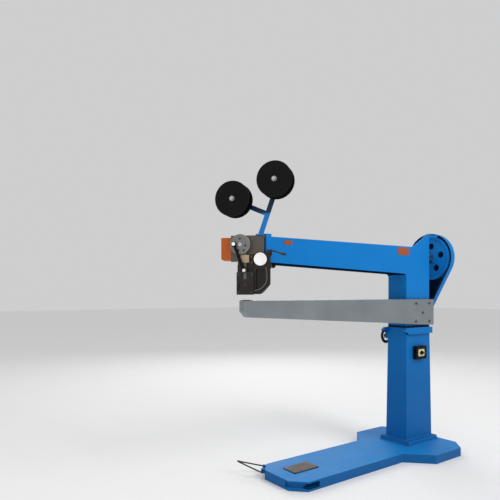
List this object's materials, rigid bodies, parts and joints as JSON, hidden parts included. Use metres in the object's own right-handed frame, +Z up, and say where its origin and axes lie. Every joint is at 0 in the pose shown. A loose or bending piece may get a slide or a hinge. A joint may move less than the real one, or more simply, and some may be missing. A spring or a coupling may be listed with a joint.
{
  "type": "long-arm wire stitching machine",
  "caption": "Free-standing carton stitcher: a long upper arm carries a wire stitching head over a slim lower arm, with wire spools, flywheel, motor and foot treadle.",
  "frame": {"origin": "on the floor, under the middle of the column", "axes": "+Z up; -X along the arms towards the stitching head; -Y towards the side with the switch"},
  "size_m": [1.7657, 0.618, 1.644],
  "materials": {
    "blue_paint": "semi-gloss",
    "blue_motor": "semi-gloss",
    "arm_grey": "satin",
    "guard_orange": "satin",
    "head_dark": "oiled",
    "housing_brown": "oiled",
    "steel": "machined",
    "disc_grey": "machined",
    "bright_steel": "polished",
    "bronze": "machined",
    "black_plastic": "matte",
    "black_metal": "satin",
    "belt_rubber": "matte",
    "white_disc": "satin",
    "cream_plate": "gloss",
    "label_orange": "satin",
    "tread_brown": "matte"
  },
  "bodies": {
    "frame": {"gear_housing": "housing_brown", "side_guard": "guard_orange", "ram_guide": "bronze", "head_body": "head_dark", "front_plate": "head_dark", "wire_guide": "bright_steel", "feed_plate": "head_dark", "spool_bracket": "blue_paint", "spindle_right": "steel", "spindle_left": "steel", "base_casting": "blue_paint", "pedal_hinge": "steel", "treadle_bracket": "blue_paint", "column_foot": "blue_paint", "lower_column": "blue_paint", "column_rear_cover": "blue_paint", "cable_gland": "black_plastic", "upper_frame": "blue_paint", "arm_end_flange": "blue_paint", "rear_bearing": "steel", "front_bearing": "steel", "v_belt": "belt_rubber", "belt_guard": "blue_paint", "motor": "blue_motor", "motor_bracket": "blue_paint", "saddle_near": "blue_paint", "saddle_far": "blue_paint", "lift_gearbox": "blue_paint", "switch_housing": "black_plastic", "switch_plate": "cream_plate", "info_plate_front": "label_orange", "info_plate_rear": "label_orange"},
    "main_shaft": {"main_shaft": "steel", "clutch_hub": "steel", "drive_bevel_gear": "steel"},
    "flywheel": {"flywheel": "blue_paint"},
    "motor_pulley": {"motor_pulley": "steel"},
    "crank": {"crank_shaft": "steel", "crank_disc": "disc_grey", "crank_pin": "bright_steel", "crank_bevel_gear": "steel"},
    "connecting_rod": {"connecting_rod": "black_metal"},
    "ram": {"ram_bar": "steel", "ram_pin": "bright_steel"},
    "feed_disc": {"feed_disc": "white_disc"},
    "feed_lever": {"feed_lever": "black_metal"},
    "tension_knob": {"tension_knob": "black_plastic"},
    "spool_right": {"spool_right": "black_plastic"},
    "spool_left": {"spool_left": "black_plastic"},
    "lower_arm": {"lower_arm": "arm_grey", "arm_screws_near": "steel", "arm_screws_far": "steel", "clincher": "head_dark"},
    "handwheel": {"handwheel": "black_metal"},
    "lift_screw": {"lift_screw": "steel"},
    "pedal": {"pedal_plate": "tread_brown"},
    "treadle": {"treadle_bail": "black_metal"},
    "clutch_lever": {"clutch_lever": "steel"},
    "switch_knob": {"switch_knob": "black_plastic"}
  },
  "joints": [
    {"name": "main_shaft_spin", "type": "hinge", "parent": "frame", "child": "main_shaft", "pos_m": [0, 0, 1.25], "axis": [1, 0, 0], "continuous": true},
    {"name": "flywheel_spin", "type": "hinge", "parent": "frame", "child": "flywheel", "pos_m": [0.245, 0, 1.25], "axis": [1, 0, 0], "continuous": true},
    {"name": "motor_spin", "type": "hinge", "parent": "frame", "child": "motor_pulley", "pos_m": [0.245, 0.17, 0.7], "axis": [1, 0, 0], "continuous": true},
    {"name": "crank_spin", "type": "hinge", "parent": "frame", "child": "crank", "pos_m": [-1.355, 0, 1.25], "axis": [0.7071, 0.7071, 0], "continuous": true},
    {"name": "rod_pivot", "type": "hinge", "parent": "crank", "child": "connecting_rod", "pos_m": [-1.38965, 0.00636, 1.25], "axis": [0.7071, 0.7071, 0], "continuous": true},
    {"name": "ram_slide", "type": "slide", "parent": "frame", "child": "ram", "axis": [0, 0, 1], "range_m": [-0.029, 0.029]},
    {"name": "feed_disc_spin", "type": "hinge", "parent": "frame", "child": "feed_disc", "pos_m": [-1.28358, -0.07142, 1.176], "axis": [0.7071, 0.7071, 0], "continuous": true},
    {"name": "feed_lever_swing", "type": "hinge", "parent": "frame", "child": "feed_lever", "pos_m": [-1.25176, -0.10324, 1.212], "axis": [0.7071, 0.7071, 0], "range_deg": [-20, 25]},
    {"name": "tension_knob_turn", "type": "hinge", "parent": "frame", "child": "tension_knob", "pos_m": [-1.23691, -0.10819, 1.142], "axis": [0.7071, -0.7071, 0], "range_deg": [-360, 720]},
    {"name": "spool_right_spin", "type": "hinge", "parent": "frame", "child": "spool_right", "pos_m": [-1.21628, -0.12459, 1.556], "axis": [0.788, 0.6157, 0], "continuous": true},
    {"name": "spool_left_spin", "type": "hinge", "parent": "frame", "child": "spool_left", "pos_m": [-1.34681, 0.04247, 1.472], "axis": [0.788, 0.6157, 0], "continuous": true},
    {"name": "lower_arm_lift", "type": "slide", "parent": "frame", "child": "lower_arm", "axis": [0, 0, 1], "range_m": [-0.01, 0]},
    {"name": "handwheel_turn", "type": "hinge", "parent": "frame", "child": "handwheel", "pos_m": [-0.062, 0.135, 0.726], "axis": [0, 1, 0], "range_deg": [-910, 10]},
    {"name": "lift_screw_turn", "type": "hinge", "parent": "frame", "child": "lift_screw", "pos_m": [-0.062, 0.105, 0.83], "axis": [0, 0, 1], "range_deg": [-910, 10]},
    {"name": "pedal_press", "type": "hinge", "parent": "frame", "child": "pedal", "pos_m": [-0.866, 0.007, 0.044], "axis": [0, -1, 0], "range_deg": [0, 2.1], "stiffness_Nm_per_rad": 60, "springref_deg": -2.86},
    {"name": "treadle_press", "type": "hinge", "parent": "frame", "child": "treadle", "pos_m": [-1.0984, 0.1444, 0.038], "axis": [-0.7071, -0.7071, 0], "range_deg": [0, 12]},
    {"name": "clutch_lever_drop", "type": "hinge", "parent": "frame", "child": "clutch_lever", "pos_m": [0.142, 0, 1.166], "axis": [0, 1, 0], "range_deg": [0, 6]},
    {"name": "switch_turn", "type": "hinge", "parent": "frame", "child": "switch_knob", "pos_m": [-0.008, -0.1, 0.628], "axis": [0, 1, 0], "range_deg": [0, 60]}
  ],
  "couplings": [
    {"joint": "motor_spin", "follows": "flywheel_spin", "ratio": 4.66},
    {"joint": "crank_spin", "follows": "main_shaft_spin", "ratio": -1},
    {"joint": "rod_pivot", "follows": "main_shaft_spin", "ratio": 1},
    {"joint": "handwheel_turn", "follows": "lower_arm_lift", "rad_per_m": 1570.8},
    {"joint": "lift_screw_turn", "follows": "lower_arm_lift", "rad_per_m": 1570.8},
    {"joint": "treadle_press", "follows": "pedal_press", "ratio": 5.5},
    {"joint": "clutch_lever_drop", "follows": "pedal_press", "ratio": 2.5}
  ]
}
